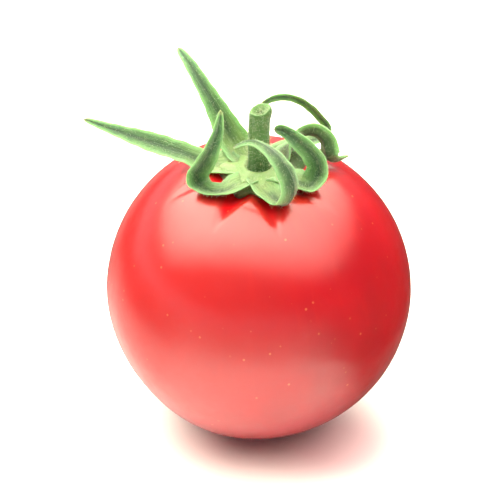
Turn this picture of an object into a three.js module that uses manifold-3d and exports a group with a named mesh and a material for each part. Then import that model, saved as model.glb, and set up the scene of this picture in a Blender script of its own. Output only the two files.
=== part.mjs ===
// A ripe cherry tomato as picked: the berry, its calyx of seven narrow sepals and the stub
// of its stalk. It stands on a small flat spot, with its stalk upright.
// Millimetres, +Z up. The origin is the middle of the flat spot.

import * as THREE from "three";
import { mergeVertices } from "three/addons/utils/BufferGeometryUtils.js";
import Module from "manifold-3d";

// ---- Driving dimensions ----

const FRUIT_RADIUS = 14;
const REST_SPOT_RADIUS = 3.2;
const CENTRE_HEIGHT = Math.sqrt(FRUIT_RADIUS ** 2 - REST_SPOT_RADIUS ** 2);
const CENTRE = new THREE.Vector3(0, 0, CENTRE_HEIGHT);

// The hollow round the stalk.
const DIMPLE_DEPTH = 1.7;
const DIMPLE_RADIUS = 4.2;

// Three faint lobes, where the seed chambers push the skin out, and one flatter side.
const LOBE_COUNT = 3;
const LOBE_HEIGHT = 0.12;
const LOBE_TURN = THREE.MathUtils.degToRad(25);
const FLAT_SIDE_DEPTH = 0.3;
const FLAT_SIDE_SPREAD = THREE.MathUtils.degToRad(24);
const FLAT_SIDE = new THREE.Vector3(-0.77, -0.37, -0.52).normalize();

// Furrows in the shoulder, narrowing outwards: [turn round the stalk in degrees, depth].
const FURROWS = [
  [-119, 0.75],
  [-77, 0.6],
  [-33, 0.4],
  [14, 0.35],
  [60, 0.4],
  [104, 0.35],
  [150, 0.4],
  [196, 0.4],
];
const FURROW_START = 2.2;
const FURROW_WIDEST = 4.2;
const FURROW_END = 9.2;
const FURROW_HALF_WIDTH = 1.5;

const FRUIT_RINGS = 40;
const FRUIT_SEGMENTS = 80;

// The gap that the green parts keep to the skin, and the stalk to the calyx.
const CLEARANCE = 0.3;

// The calyx's own level, which the heights of its sepals are measured from.
const CALYX_LEVEL = CENTRE_HEIGHT + 12.65;
const RECEPTACLE_RADIUS = 3.7;
const RECEPTACLE_TOP = CALYX_LEVEL + 0.6;
const RECEPTACLE_RINGS = 6;
const RECEPTACLE_SEGMENTS = 56;
const WEB_REACH = 1.2;
const WEB_TURN = THREE.MathUtils.degToRad(24);
const SEPAL_THICKNESS = 0.62;
const SEPAL_CUP = 0.14;
const SEPAL_STEPS_PER_SPAN = 4;
const SEPAL_COLUMNS = [-1, -0.5, 0, 0.5, 1];

const STALK_TOP = CALYX_LEVEL + 6.95;
const STALK_RADIUS = 0.95;
const STALK_FOOT_FLARE = 0.35;
const STALK_KNUCKLE = 0.15;
const STALK_CUT_SLOPE = 0.3;
const STALK_CUT_DEPTH = 0.3;
const STALK_SIDES = 20;
const STALK_LEVELS = 14;

// Each sepal's stations from root to tip: [x, y, height above the calyx's level, width, roll].
// Roll turns the blade about its own length, in degrees, from the way it would lie unturned.
const SEPALS = {
  left: [
    [-0.9, 0.4, 0.3, 2.2, 0],
    [-2.9, 0.5, 0.7, 3.0, -10],
    [-4.7, 1.1, 0.55, 2.2, -20],
    [-7.0, 1.75, 1.15, 2.0, -30],
    [-9.8, 2.4, 1.8, 1.9, -35],
    [-12.8, 3.3, 2.4, 1.2, -35],
    [-15.9, 4.3, 3.05, 0.45, -35],
  ],
  back_left: [
    [-0.9, 0.9, 0.3, 2.4, 0],
    [-1.65, 2.1, 1.1, 2.9, -10],
    [-2.6, 2.9, 2.5, 2.7, -25],
    [-3.8, 3.9, 4.6, 1.95, -30],
    [-4.95, 5.2, 6.1, 1.45, -30],
    [-6.15, 6.9, 7.3, 1.1, -30],
    [-7.3, 8.8, 7.9, 0.55, -30],
  ],
  front_left: [
    [-0.5, -0.8, 0.3, 2.2, 0],
    [-1.4, -2.4, 0.75, 2.6, 0],
    [-2.9, -3.6, 0.7, 2.2, 0],
    [-4.4, -3.35, 0.55, 1.9, 0],
    [-5.35, -2.35, 0.5, 2.2, 0],
    [-5.55, -2.0, 1.3, 2.4, 0],
    [-5.0, -2.0, 2.4, 2.4, 0],
    [-4.3, -2.0, 3.9, 1.9, 0],
    [-3.65, -1.6, 5.7, 1.2, 0],
    [-3.35, -0.9, 7.5, 0.5, 0],
  ],
  front: [
    [0.2, -0.9, 0.3, 2.2, 0],
    [0.3, -2.6, 0.75, 2.6, 0],
    [1.1, -4.3, 0.75, 2.7, 0],
    [2.2, -5.4, 0.6, 2.6, 0],
    [2.9, -6.0, 1.5, 2.4, 0],
    [3.0, -6.1, 3.0, 2.2, 0],
    [2.5, -5.8, 4.3, 2.0, 0],
    [1.5, -5.0, 5.4, 1.5, 0],
    [0.1, -3.8, 5.8, 1.0, 0],
    [-1.0, -3.1, 5.5, 0.8, 0],
    [-2.2, -2.4, 4.4, 0.45, 0],
  ],
  right: [
    [0.9, -0.6, 0.3, 2.2, 0],
    [2.3, -1.8, 0.75, 2.7, 0],
    [3.7, -2.4, 0.7, 3.2, 0],
    [4.8, -2.4, 0.5, 2.9, 0],
    [5.5, -1.95, 1.2, 2.6, 8],
    [5.5, -1.75, 2.1, 2.4, 22],
    [4.85, -1.5, 3.3, 2.1, 35],
    [3.6, -0.9, 4.25, 1.7, 38],
    [2.45, 0.2, 4.5, 1.2, 34],
    [1.5, 1.3, 3.9, 0.6, 28],
  ],
  right_arch: [
    [1.0, 0.6, 0.3, 2.2, 0],
    [2.4, 1.4, 0.9, 3.0, -10],
    [3.4, 2.1, 2.2, 2.6, -50],
    [4.2, 2.6, 2.65, 2.3, -62],
    [5.4, 2.8, 2.55, 2.1, -67],
    [6.2, 2.4, 1.9, 2.3, -70],
    [6.5, 1.8, 0.7, 2.5, -70],
    [7.3, 2.0, 0.3, 1.3, -60],
    [8.3, 2.3, 0.4, 0.45, -50],
  ],
  back_right: [
    [0.5, 0.9, 0.3, 2.0, 0],
    [2.0, 2.5, 0.75, 2.0, 0],
    [4.0, 4.1, 0.6, 1.7, 0],
    [5.9, 5.1, 0.5, 1.4, 0],
    [6.4, 5.5, 1.4, 1.2, 10],
    [5.6, 5.7, 2.5, 1.0, 20],
    [4.5, 5.4, 3.9, 0.9, 33],
    [3.1, 4.7, 5.15, 0.85, 45],
    [1.6, 3.8, 5.75, 0.8, 60],
    [0.35, 2.8, 5.75, 0.7, 65],
  ],
};

// ---- Materials ----

const SKIN = new THREE.MeshStandardMaterial({
  name: "tomato_skin",
  color: 0xd8201c,
  roughness: 0.25,
  metalness: 0,
});
const SEPAL_GREEN = new THREE.MeshStandardMaterial({
  name: "sepal_green",
  color: 0x86b070,
  roughness: 0.65,
  metalness: 0,
});
const STALK_GREEN = new THREE.MeshStandardMaterial({
  name: "stalk_green",
  color: 0x74a060,
  roughness: 0.7,
  metalness: 0,
});

// ---- Solids ----

const wasm = await Module();
wasm.setup();

/** A geometry from its corner points and the triangles between them. */
function geometryOf(points, triangles) {
  const geometry = new THREE.BufferGeometry();
  const flat = points.flatMap((p) => [p.x, p.y, p.z]);
  geometry.setAttribute("position", new THREE.Float32BufferAttribute(flat, 3));
  geometry.setIndex(triangles.flat());
  geometry.computeVertexNormals();
  return geometry;
}

/** A closed geometry as a solid that can be joined and cut. */
function solidOf(geometry) {
  const bare = geometry.clone();
  bare.deleteAttribute("normal");
  bare.deleteAttribute("uv");
  const merged = mergeVertices(bare, 1e-4);
  return new wasm.Manifold(
    new wasm.Mesh({
      numProp: 3,
      vertProperties: new Float32Array(merged.attributes.position.array),
      triVerts: new Uint32Array(merged.index.array),
    }),
  );
}

/** A solid as a geometry. */
function geometryOfSolid(solid) {
  const mesh = solid.getMesh();
  const geometry = new THREE.BufferGeometry();
  const points = new Float32Array(mesh.vertProperties);
  geometry.setAttribute("position", new THREE.BufferAttribute(points, 3));
  geometry.setIndex(new THREE.BufferAttribute(new Uint32Array(mesh.triVerts), 1));
  geometry.computeVertexNormals();
  return geometry;
}

/** The two triangles of a four-cornered face, turned round if it faces the other way. */
function quad(a, b, c, d, turned) {
  return turned ? [[a, c, b], [a, d, c]] : [[a, b, c], [a, c, d]];
}

/** The angle from the second turn to the first, from minus to plus half a turn. */
function turnBetween(first, second) {
  return THREE.MathUtils.euclideanModulo(first - second + Math.PI, 2 * Math.PI) - Math.PI;
}

// ---- Fruit ----

/** How deep the shoulder's furrows are at a place on the skin. */
function furrowDepth(fromAxis, arc, around) {
  const { clamp, degToRad, smoothstep } = THREE.MathUtils;
  const outward = clamp((arc - FURROW_WIDEST) / (FURROW_END - FURROW_WIDEST), 0, 1);
  const along = smoothstep(arc, FURROW_START, FURROW_WIDEST) * (1 - outward) ** 1.2;
  const halfWidth = 0.25 + FURROW_HALF_WIDTH * (1 - outward);
  let total = 0;
  for (const [turn, depth] of FURROWS) {
    const across = FRUIT_RADIUS * fromAxis * Math.abs(turnBetween(around, degToRad(turn)));
    total += depth * along * (1 - smoothstep(across / halfWidth, 0, 1));
  }
  return total;
}

/** How far the skin is from the fruit's centre, along a unit direction. */
function skinRadius(direction) {
  const fromAxis = Math.hypot(direction.x, direction.y);
  const arc = FRUIT_RADIUS * Math.atan2(fromAxis, direction.z);
  const around = Math.atan2(direction.y, direction.x);
  const dimple = DIMPLE_DEPTH * Math.exp(-((arc / DIMPLE_RADIUS) ** 2));
  const lobes = LOBE_HEIGHT * fromAxis ** 2 * Math.cos(LOBE_COUNT * around + LOBE_TURN);
  const flat = FLAT_SIDE_DEPTH * Math.exp(-((direction.angleTo(FLAT_SIDE) / FLAT_SIDE_SPREAD) ** 2));
  return FRUIT_RADIUS - dimple + lobes - flat - furrowDepth(fromAxis, arc, around);
}

/** The point of the skin that lies along a direction from the fruit's centre. */
function skinPoint(polar, around) {
  const direction = new THREE.Vector3(
    Math.sin(polar) * Math.cos(around),
    Math.sin(polar) * Math.sin(around),
    Math.cos(polar),
  );
  return direction.clone().multiplyScalar(skinRadius(direction)).add(CENTRE);
}

/** The berry: rings of skin from the dimple down to the flat spot, closed by the spot. */
function fruitGeometry() {
  const lastPolar = Math.PI - Math.asin(REST_SPOT_RADIUS / FRUIT_RADIUS);
  const points = [skinPoint(0, 0)];
  for (let ring = 1; ring <= FRUIT_RINGS; ring++) {
    for (let segment = 0; segment < FRUIT_SEGMENTS; segment++) {
      const around = (2 * Math.PI * segment) / FRUIT_SEGMENTS;
      const point = skinPoint((lastPolar * ring) / FRUIT_RINGS, around);
      points.push(ring === FRUIT_RINGS ? point.setZ(0) : point);
    }
  }
  points.push(new THREE.Vector3(0, 0, 0));

  const at = (ring, segment) => 1 + (ring - 1) * FRUIT_SEGMENTS + (segment % FRUIT_SEGMENTS);
  const bottom = points.length - 1;
  const triangles = [];
  for (let segment = 0; segment < FRUIT_SEGMENTS; segment++) {
    const next = segment + 1;
    triangles.push([0, at(1, segment), at(1, next)]);
    for (let ring = 1; ring < FRUIT_RINGS; ring++) {
      const [above, below] = [at(ring, segment), at(ring + 1, segment)];
      triangles.push(...quad(above, below, at(ring + 1, next), at(ring, next)));
    }
    triangles.push([bottom, at(FRUIT_RINGS, next), at(FRUIT_RINGS, segment)]);
  }
  return geometryOf(points, triangles);
}

// ---- Calyx ----

/** How far a point is outside the skin, and the way out from the fruit's centre. */
function offSkin(point) {
  const out = point.clone().sub(CENTRE);
  const reach = out.length();
  out.normalize();
  return { height: reach - skinRadius(out), out };
}

/** Places along a sepal, root to tip: its point, tangent, half width and roll. */
function sepalPlaces(stations) {
  const path = stations.map(([x, y, height]) => new THREE.Vector3(x, y, CALYX_LEVEL + height));
  const curve = new THREE.CatmullRomCurve3(path, false, "catmullrom", 0.5);
  const spans = stations.length - 1;
  const count = spans * SEPAL_STEPS_PER_SPAN;
  return Array.from({ length: count + 1 }, (_, step) => {
    const span = Math.min(Math.floor(step / SEPAL_STEPS_PER_SPAN), spans - 1);
    const share = step / SEPAL_STEPS_PER_SPAN - span;
    const between = (value) =>
      THREE.MathUtils.lerp(stations[span][value], stations[span + 1][value], share);
    return {
      point: curve.getPoint(step / count),
      tangent: curve.getTangent(step / count),
      halfWidth: between(3) / 2,
      roll: THREE.MathUtils.degToRad(between(4)),
    };
  });
}

/** The corners of a sepal's two faces at each place, kept clear of the skin. */
function sepalCorners(stations) {
  const corners = [];
  const normal = new THREE.Vector3(0, 0, 1);
  for (const { point, tangent, halfWidth, roll } of sepalPlaces(stations)) {
    normal.addScaledVector(tangent, -normal.dot(tangent)).normalize();
    const up = normal.clone().applyAxisAngle(tangent, roll);
    const side = tangent.clone().cross(up);
    const pairs = SEPAL_COLUMNS.map((column) => {
      const middle = point.clone().addScaledVector(side, column * halfWidth);
      middle.addScaledVector(up, SEPAL_CUP * halfWidth * column ** 2);
      const faces = [1, -1].map((face) =>
        middle.clone().addScaledVector(up, (face * SEPAL_THICKNESS) / 2),
      );
      const [upper, lower] = faces.map(offSkin);
      const lift = Math.max(0, CLEARANCE - Math.min(upper.height, lower.height));
      return faces.map((corner) => corner.addScaledVector(lower.out, lift));
    });
    corners.push(...pairs.map((pair) => pair[0]), ...pairs.map((pair) => pair[1]));
  }
  return corners;
}

/** A sepal: a thin cupped blade, closed all round. */
function sepalGeometry(stations) {
  const columns = SEPAL_COLUMNS.length;
  const corners = sepalCorners(stations);
  const last = corners.length / (2 * columns) - 1;
  const at = (place, face, column) => (2 * place + face) * columns + column;
  const triangles = [];
  for (let place = 0; place < last; place++) {
    const next = place + 1;
    for (let column = 0; column + 1 < columns; column++) {
      for (const face of [0, 1]) {
        const [a, b] = [at(place, face, column), at(place, face, column + 1)];
        const [c, d] = [at(next, face, column + 1), at(next, face, column)];
        triangles.push(...quad(a, b, c, d, face === 1));
      }
    }
    for (const edge of [0, columns - 1]) {
      const [a, b] = [at(place, 0, edge), at(next, 0, edge)];
      const [c, d] = [at(next, 1, edge), at(place, 1, edge)];
      triangles.push(...quad(a, b, c, d, edge > 0));
    }
  }
  for (const end of [0, last]) {
    for (let column = 0; column + 1 < columns; column++) {
      const [a, b] = [at(end, 0, column), at(end, 1, column)];
      const [c, d] = [at(end, 1, column + 1), at(end, 0, column + 1)];
      triangles.push(...quad(a, b, c, d, end > 0));
    }
  }
  return geometryOf(corners, triangles);
}

/** How far the receptacle reaches at a turn round it: out to each sepal's root, and one web. */
function receptacleReach(around) {
  const lobes = Object.values(SEPALS).map(([, [x, y]]) => {
    return Math.exp(-((turnBetween(around, Math.atan2(y, x)) / 0.26) ** 2));
  });
  const web = WEB_REACH * Math.exp(-((turnBetween(around, WEB_TURN) / 0.45) ** 2));
  return RECEPTACLE_RADIUS * (0.86 + 0.14 * Math.max(...lobes)) + web;
}

/** The lobed green disc that the sepals grow from. Its two faces follow the skin below it. */
function receptacleGeometry() {
  const [top, bottom] = [[], []];
  for (let ring = 0; ring <= RECEPTACLE_RINGS; ring++) {
    for (let segment = 0; segment < (ring ? RECEPTACLE_SEGMENTS : 1); segment++) {
      const around = (2 * Math.PI * segment) / RECEPTACLE_SEGMENTS;
      const reach = (receptacleReach(around) * ring) / RECEPTACLE_RINGS;
      const under = skinPoint(Math.asin(reach / FRUIT_RADIUS), around);
      under.z += CLEARANCE;
      bottom.push(under);
      top.push(under.clone().setZ(Math.max(RECEPTACLE_TOP, under.z + SEPAL_THICKNESS)));
    }
  }
  const at = (face, ring, segment) => {
    const start = face * top.length;
    const along = 1 + (ring - 1) * RECEPTACLE_SEGMENTS + (segment % RECEPTACLE_SEGMENTS);
    return ring === 0 ? start : start + along;
  };
  const triangles = [];
  for (let segment = 0; segment < RECEPTACLE_SEGMENTS; segment++) {
    const next = segment + 1;
    for (const face of [0, 1]) {
      const fan = [at(face, 0, 0), at(face, 1, segment), at(face, 1, next)];
      triangles.push(face ? fan.reverse() : fan);
      for (let ring = 1; ring < RECEPTACLE_RINGS; ring++) {
        const [a, b] = [at(face, ring, segment), at(face, ring + 1, segment)];
        triangles.push(...quad(a, b, at(face, ring + 1, next), at(face, ring, next), face === 1));
      }
    }
    const [a, b] = [at(0, RECEPTACLE_RINGS, segment), at(1, RECEPTACLE_RINGS, segment)];
    triangles.push(...quad(a, b, at(1, RECEPTACLE_RINGS, next), at(0, RECEPTACLE_RINGS, next)));
  }
  return geometryOf([...top, ...bottom], triangles);
}

/** The receptacle and its sepals as one body. */
function calyxGeometry() {
  let body = solidOf(receptacleGeometry());
  for (const stations of Object.values(SEPALS)) {
    body = body.add(solidOf(sepalGeometry(stations)));
  }
  return geometryOfSolid(body.simplify(0.003));
}

// ---- Stalk ----

/** The stub of stalk, from its flared foot to its sloping, slightly hollow cut. */
function pedicelGeometry() {
  const foot = RECEPTACLE_TOP + CLEARANCE;
  const height = STALK_TOP - foot;
  const points = [];
  for (let level = 0; level <= STALK_LEVELS; level++) {
    const share = level / STALK_LEVELS;
    const flare = STALK_FOOT_FLARE * Math.exp(-7 * share);
    const bow = 0.12 * Math.sin(Math.PI * share);
    for (let side = 0; side < STALK_SIDES; side++) {
      const around = (2 * Math.PI * side) / STALK_SIDES;
      const toRight = Math.max(Math.cos(around), 0);
      const knuckle = STALK_KNUCKLE * toRight * Math.exp(-(((share - 0.92) / 0.08) ** 2));
      const radius = STALK_RADIUS + flare + knuckle;
      const x = 0.2 - bow + radius * Math.cos(around);
      const y = bow + radius * Math.sin(around);
      const slope = STALK_CUT_SLOPE * share ** 4 * radius * Math.cos(around);
      points.push(new THREE.Vector3(x, y, foot + height * share + slope));
    }
  }
  const [footMiddle, cutMiddle] = [points.length, points.length + 1];
  points.push(new THREE.Vector3(0.2, 0, foot));
  points.push(new THREE.Vector3(0.2, 0, STALK_TOP - STALK_CUT_DEPTH));

  const at = (level, side) => level * STALK_SIDES + (side % STALK_SIDES);
  const triangles = [];
  for (let side = 0; side < STALK_SIDES; side++) {
    const next = side + 1;
    triangles.push([footMiddle, at(0, next), at(0, side)]);
    triangles.push([cutMiddle, at(STALK_LEVELS, side), at(STALK_LEVELS, next)]);
    for (let level = 0; level < STALK_LEVELS; level++) {
      const above = level + 1;
      triangles.push(...quad(at(level, side), at(level, next), at(above, next), at(above, side)));
    }
  }
  return geometryOf(points, triangles);
}

// ---- Assembly ----

/** A named mesh from its geometry and material. */
function piece(name, geometry, material) {
  const mesh = new THREE.Mesh(geometry, material);
  mesh.name = name;
  return mesh;
}

const tomato = new THREE.Group();
tomato.add(piece("fruit", fruitGeometry(), SKIN));
tomato.add(piece("calyx", calyxGeometry(), SEPAL_GREEN));
tomato.add(piece("pedicel", pedicelGeometry(), STALK_GREEN));

export default tomato;
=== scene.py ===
"""The looks of a ripe cherry tomato as picked, with its calyx and the stub of its stalk.

Lengths are millimetres, and mesh_object() turns them into metres. The fruit, the calyx and the
stalk each take the place of the frame's plainer solid of the same form.
"""

import math

import bpy
import numpy as np
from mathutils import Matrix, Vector, noise


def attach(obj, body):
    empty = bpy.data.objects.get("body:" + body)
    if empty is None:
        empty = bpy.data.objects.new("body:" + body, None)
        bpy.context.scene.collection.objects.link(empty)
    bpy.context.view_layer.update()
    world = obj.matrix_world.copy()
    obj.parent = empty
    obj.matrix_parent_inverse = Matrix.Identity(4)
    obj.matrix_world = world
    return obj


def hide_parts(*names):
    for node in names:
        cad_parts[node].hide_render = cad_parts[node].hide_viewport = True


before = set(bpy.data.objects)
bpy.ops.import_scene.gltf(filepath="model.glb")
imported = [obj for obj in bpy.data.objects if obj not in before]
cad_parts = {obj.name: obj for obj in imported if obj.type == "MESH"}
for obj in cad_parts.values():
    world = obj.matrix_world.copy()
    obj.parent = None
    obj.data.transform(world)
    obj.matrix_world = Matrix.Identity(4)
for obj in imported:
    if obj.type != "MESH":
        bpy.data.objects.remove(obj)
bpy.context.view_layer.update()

MM = 0.001


# ---- Helpers: numbers ----


def unit(*parts):
    """A direction of length one."""
    return np.array(parts) / math.hypot(*parts)


def smooth_step(low, high, values):
    """Rises smoothly from 0 at low to 1 at high."""
    share = np.clip((values - low) / (high - low), 0, 1)
    return share * share * (3 - 2 * share)


def hump(values, width):
    """Is 1 where the values are 0, and falls off smoothly over the width to both sides."""
    return np.exp(-((values / width) ** 2))


def turn_between(first, second):
    """The angle from the second turn to the first, from minus to plus half a turn."""
    return np.remainder(first - second + math.pi, 2 * math.pi) - math.pi


def bumps(points, size, seed):
    """Smooth noise from -1 to 1 at each point, with lumps about size across."""
    shift = Vector((seed * 7.1, seed * 3.7, seed * 5.3))
    return np.array([noise.noise(Vector(p) / size + shift) for p in points])


# ---- Sizes that the frame's solids have too ----

FRUIT_RADIUS = 14.0
REST_SPOT_RADIUS = 3.2
CENTRE = np.array([0.0, 0.0, math.sqrt(FRUIT_RADIUS**2 - REST_SPOT_RADIUS**2)])
DIMPLE_DEPTH = 1.7
DIMPLE_RADIUS = 4.2
LOBE_COUNT = 3
LOBE_HEIGHT = 0.12
LOBE_TURN = math.radians(25)
FLAT_SIDE_DEPTH = 0.3
FLAT_SIDE_SPREAD = math.radians(24)
FLAT_SIDE = unit(-0.77, -0.37, -0.52)

# Furrows in the fruit's shoulder, narrowing outwards: [turn round the stalk, depth].
FURROWS = [
    [-119, 0.75],
    [-77, 0.6],
    [-33, 0.4],
    [14, 0.35],
    [60, 0.4],
    [104, 0.35],
    [150, 0.4],
    [196, 0.4],
]
FURROW_START = 2.2
FURROW_WIDEST = 4.2
FURROW_END = 9.2
FURROW_HALF_WIDTH = 1.5
FURROW_TIP_HALF_WIDTH = 0.25
FURROW_FADE = 1.2

CALYX_LEVEL = CENTRE[2] + 12.65
RECEPTACLE_RADIUS = 3.7
RECEPTACLE_TOP = CALYX_LEVEL + 0.6
LOBE_REACH = 0.14
LOBE_SPREAD = 0.26
WEB_REACH = 1.2
WEB_TURN = math.radians(24)
WEB_SPREAD = 0.45
SEPAL_CUP = 0.14

STALK_TOP = CALYX_LEVEL + 6.95
STALK_RADIUS = 0.95
STALK_OFFSET = 0.2
STALK_FOOT_FLARE = 0.35
STALK_KNUCKLE = 0.15
STALK_CUT_SLOPE = 0.3
STALK_CUT_DEPTH = 0.3

# Each sepal's stations from root to tip: [x, y, height above the calyx's level, width, roll].
SEPALS = {
    "left": [
        [-0.9, 0.4, 0.3, 2.2, 0],
        [-2.9, 0.5, 0.7, 3.0, -10],
        [-4.7, 1.1, 0.55, 2.2, -20],
        [-7.0, 1.75, 1.15, 2.0, -30],
        [-9.8, 2.4, 1.8, 1.9, -35],
        [-12.8, 3.3, 2.4, 1.2, -35],
        [-15.9, 4.3, 3.05, 0.45, -35],
    ],
    "back_left": [
        [-0.9, 0.9, 0.3, 2.4, 0],
        [-1.65, 2.1, 1.1, 2.9, -10],
        [-2.6, 2.9, 2.5, 2.7, -25],
        [-3.8, 3.9, 4.6, 1.95, -30],
        [-4.95, 5.2, 6.1, 1.45, -30],
        [-6.15, 6.9, 7.3, 1.1, -30],
        [-7.3, 8.8, 7.9, 0.55, -30],
    ],
    "front_left": [
        [-0.5, -0.8, 0.3, 2.2, 0],
        [-1.4, -2.4, 0.75, 2.6, 0],
        [-2.9, -3.6, 0.7, 2.2, 0],
        [-4.4, -3.35, 0.55, 1.9, 0],
        [-5.35, -2.35, 0.5, 2.2, 0],
        [-5.55, -2.0, 1.3, 2.4, 0],
        [-5.0, -2.0, 2.4, 2.4, 0],
        [-4.3, -2.0, 3.9, 1.9, 0],
        [-3.65, -1.6, 5.7, 1.2, 0],
        [-3.35, -0.9, 7.5, 0.5, 0],
    ],
    "front": [
        [0.2, -0.9, 0.3, 2.2, 0],
        [0.3, -2.6, 0.75, 2.6, 0],
        [1.1, -4.3, 0.75, 2.7, 0],
        [2.2, -5.4, 0.6, 2.6, 0],
        [2.9, -6.0, 1.5, 2.4, 0],
        [3.0, -6.1, 3.0, 2.2, 0],
        [2.5, -5.8, 4.3, 2.0, 0],
        [1.5, -5.0, 5.4, 1.5, 0],
        [0.1, -3.8, 5.8, 1.0, 0],
        [-1.0, -3.1, 5.5, 0.8, 0],
        [-2.2, -2.4, 4.4, 0.45, 0],
    ],
    "right": [
        [0.9, -0.6, 0.3, 2.2, 0],
        [2.3, -1.8, 0.75, 2.7, 0],
        [3.7, -2.4, 0.7, 3.2, 0],
        [4.8, -2.4, 0.5, 2.9, 0],
        [5.5, -1.95, 1.2, 2.6, 8],
        [5.5, -1.75, 2.1, 2.4, 22],
        [4.85, -1.5, 3.3, 2.1, 35],
        [3.6, -0.9, 4.25, 1.7, 38],
        [2.45, 0.2, 4.5, 1.2, 34],
        [1.5, 1.3, 3.9, 0.6, 28],
    ],
    "right_arch": [
        [1.0, 0.6, 0.3, 2.2, 0],
        [2.4, 1.4, 0.9, 3.0, -10],
        [3.4, 2.1, 2.2, 2.6, -50],
        [4.2, 2.6, 2.65, 2.3, -62],
        [5.4, 2.8, 2.55, 2.1, -67],
        [6.2, 2.4, 1.9, 2.3, -70],
        [6.5, 1.8, 0.7, 2.5, -70],
        [7.3, 2.0, 0.3, 1.3, -60],
        [8.3, 2.3, 0.4, 0.45, -50],
    ],
    "back_right": [
        [0.5, 0.9, 0.3, 2.0, 0],
        [2.0, 2.5, 0.75, 2.0, 0],
        [4.0, 4.1, 0.6, 1.7, 0],
        [5.9, 5.1, 0.5, 1.4, 0],
        [6.4, 5.5, 1.4, 1.2, 10],
        [5.6, 5.7, 2.5, 1.0, 20],
        [4.5, 5.4, 3.9, 0.9, 33],
        [3.1, 4.7, 5.15, 0.85, 45],
        [1.6, 3.8, 5.75, 0.8, 60],
        [0.35, 2.8, 5.75, 0.7, 65],
    ],
}

# ---- Sizes of the finer form ----

FRUIT_RINGS = 220
FRUIT_SEGMENTS = 288
RING_CROWDING = 0.55
REST_SPOT_BLEND = 0.07
# Faint waves in the skin: [height, size as a share of the fruit's radius, seed].
SKIN_WAVES = [[0.02, 0.28, 1], [0.012, 0.11, 2]]
SCAR_RADIUS = 0.5
SCAR_DEPTH = 0.14
SCAR_NUB = 0.8
SCAR_RAGGEDNESS = 0.12

RECEPTACLE_RINGS = 30
RECEPTACLE_SEGMENTS = 120
RECEPTACLE_THICKNESS = 0.95
RECEPTACLE_SINK = 0.04
RECEPTACLE_HOLLOW = 0.15
RECEPTACLE_NUMBER = 9.0
RECEPTACLE_ACROSS = 0.45
# Painted shade: the web on the right is painted a darker green towards its edge.
WEB_PAINTED_SHADE = 0.45
WEB_PAINTED_SHADE_SPREAD = 0.6
COLLAR_HEIGHT = 0.3
COLLAR_RADIUS = 1.3
COLLAR_WIDTH = 0.4
GROOVE_DEPTH = 0.3
GROOVE_START = 0.4
GROOVE_END = 0.85
LUMP_HEIGHT = 0.1
LUMP_SIZE = 0.8

BLADE_STEPS_PER_SPAN = 11
BLADE_COLUMNS = 17
BLADE_THICKNESS = 0.26
BLADE_EDGE_THICKNESS = 0.09
BLADE_FOLD = 0.16
BLADE_FOLD_LINE = 0.45
# Waves and slips of the edges: height, and radians to the millimetre and from blade to blade.
BLADE_WAVE = 0.035
BLADE_WAVE_RATE, BLADE_WAVE_STEP = 2.9, 1.7
BLADE_EDGES_APART = 2.2
BLADE_SLIP = 0.03
BLADE_SLIP_RATE, BLADE_SLIP_STEP = 4.1, 2.3
MIDRIB_HEIGHT = 0.1
MIDRIB_WIDTH = 0.16
ROOT_SWELL = 0.9
ROOT_SWELL_LENGTH = 1.6
TIP_ROUNDING = 0.7
TIP_CLOSING = 0.995
THIN_SHARE = 0.35
NARROW_HALF_WIDTH = 0.62
NARROW_MOST = 0.55
SKIN_TOUCH = 0.03
SETTLING = 0.28
SETTLING_NEAR = 0.35
SETTLING_FAR = 1.3

# Painted shade: the hollow between the two back sepals on the right is painted dark, as if in shadow.
HOLLOW_SHADE_MIDDLE = [2.2, 1.6, CALYX_LEVEL + 0.5]
HOLLOW_SHADE_NEAR = 1.0
HOLLOW_SHADE_FAR = 2.6

STALK_LEVELS = 70
STALK_SIDES = 60
STALK_CUT_RINGS = [0.06, 0.16, 0.28, 0.42, 0.58, 0.74, 0.88]
STALK_FOOT_SINK = 0.1
STALK_FLARE_FADE = 7
STALK_KNUCKLE_LEVEL = 0.92
STALK_KNUCKLE_SPREAD = 0.08
# Ridges along the stalk: [height, number of them, twist, turn].
STALK_RIDGES = [[0.028, 7, 1.2, 0], [0.014, 13, 0, 2]]
STALK_CUT_RAGGEDNESS = 0.06
STALK_BOW = 0.12
STALK_UNEVENNESS = 0.035
STALK_UNEVENNESS_SIZE = 0.9

# A hair's three rings of points: [share of its length, radius].
HAIR_RINGS = [[-0.06, 0.011], [0.45, 0.008], [1.0, 0.002]]
HAIR_LEAN = 0.45
HAIR_BEND = 0.25
HAIR_SKEW = [0.31, 0.77, 0.55]
# Heights over the fruit's skin up to which a leaf is bare, and from which it is fully haired.
HAIR_BARE_HEIGHT = 0.1
HAIR_FULL_HEIGHT = 0.3
# Hairs on each piece: [number to the square millimetre, shortest and longest, seed].
CALYX_HAIRS = [16, (0.1, 0.32), 11]
STALK_HAIRS = [26, (0.12, 0.5), 12]


# ---- Helpers: meshes ----


def mesh_object(name, points, faces, attributes):
    """A smooth mesh from points in millimetres, with its named values at each point."""
    mesh = bpy.data.meshes.new(name)
    mesh.from_pydata((np.asarray(points) * MM).tolist(), [], faces)
    for key, values in attributes.items():
        values = np.asarray(values, np.float32)
        kind = "FLOAT" if values.ndim == 1 else "FLOAT_VECTOR"
        layer = mesh.attributes.new(key, kind, "POINT")
        layer.data.foreach_set("value" if kind == "FLOAT" else "vector", values.ravel())
    mesh.shade_smooth()
    piece = bpy.data.objects.new(name, mesh)
    bpy.context.scene.collection.objects.link(piece)
    return piece


def fit_to_frame(piece, material, slot, *nodes):
    """Gives a finished piece its material and its place in the frame."""
    piece.data.materials.clear()
    piece.data.materials.append(material)
    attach(piece, "root")
    if nodes:
        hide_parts(*nodes)


# ---- Helpers: materials ----


def paint(code):
    """A linear colour from a hex code."""
    parts = [int(code[i : i + 2], 16) / 255 for i in (0, 2, 4)]
    linear = [c / 12.92 if c <= 0.04045 else ((c + 0.055) / 1.055) ** 2.4 for c in parts]
    return (*linear, 1.0)


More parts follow.
